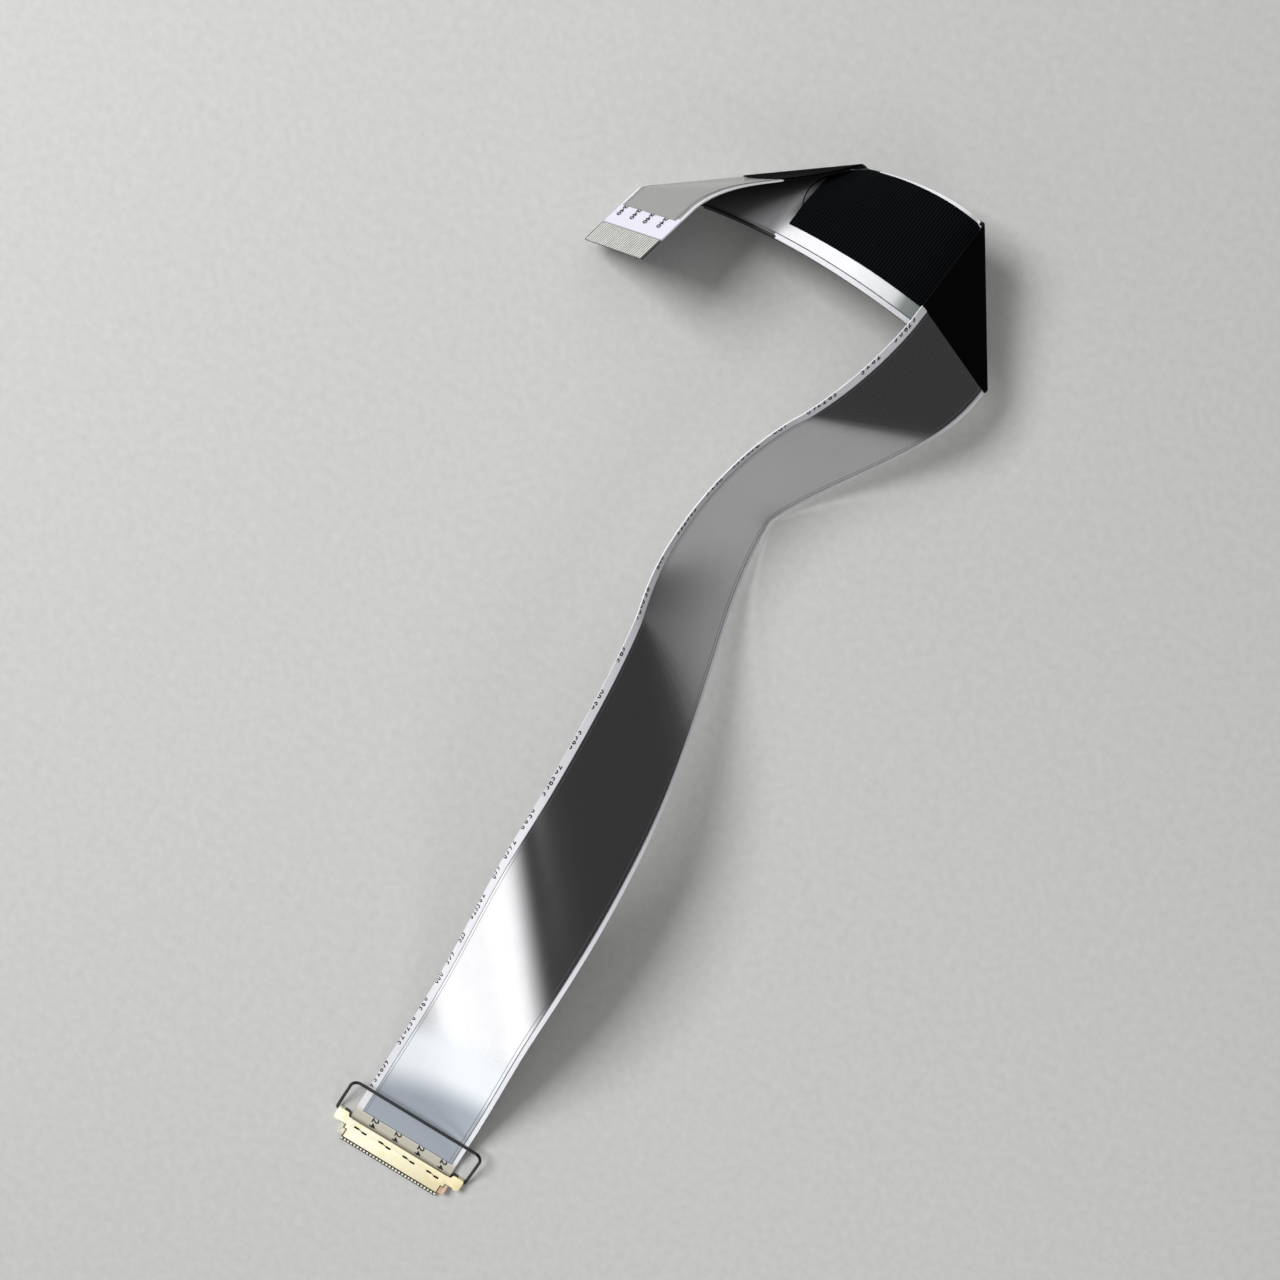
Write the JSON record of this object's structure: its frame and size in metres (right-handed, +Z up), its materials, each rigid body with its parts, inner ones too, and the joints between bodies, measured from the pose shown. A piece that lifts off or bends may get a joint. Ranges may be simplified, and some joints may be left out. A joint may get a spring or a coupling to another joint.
{
  "type": "flat flex cable",
  "caption": "Flat flexible cable with silver shield films, folded twice under black cloth tape, with a metal-shelled plug and wire pull bar at one end and bare contact strips at the other.",
  "frame": {"origin": "underside of the plug, in line with its cable-side edge and midway along the contact row", "axes": "+X along the contact row away from the printed edge of the ribbon, +Y the way the cable leaves the plug, +Z up from the plug's underside"},
  "size_m": [0.053, 0.1448, 0.0182],
  "materials": {
    "white_film": "satin",
    "shield_film": "polished",
    "cloth_tape": "ribbed",
    "wrap_tape": "matte",
    "insulator": "matte",
    "gold_shell": "plated",
    "lugs": "plated",
    "contact_metal": "plated",
    "tinned_strip": "satin",
    "wire": "polished"
  },
  "bodies": {
    "cable": {"ribbon": "white_film", "shield_top": "shield_film", "shield_under": "shield_film", "contact_strips": "tinned_strip", "tape_wrap": "wrap_tape", "tape_ribbed": "cloth_tape", "plug_housing": "insulator", "plug_shell": "gold_shell", "plug_contacts": "contact_metal", "latch_lugs": "lugs"},
    "pull_bar": {"pull_bar": "wire"}
  },
  "joints": [
    {"name": "pull_bar_hinge", "type": "hinge", "parent": "cable", "child": "pull_bar", "pos_m": [0, 0.0003, 0.0005], "axis": [1, 0, 0], "range_deg": [0, 150]}
  ]
}
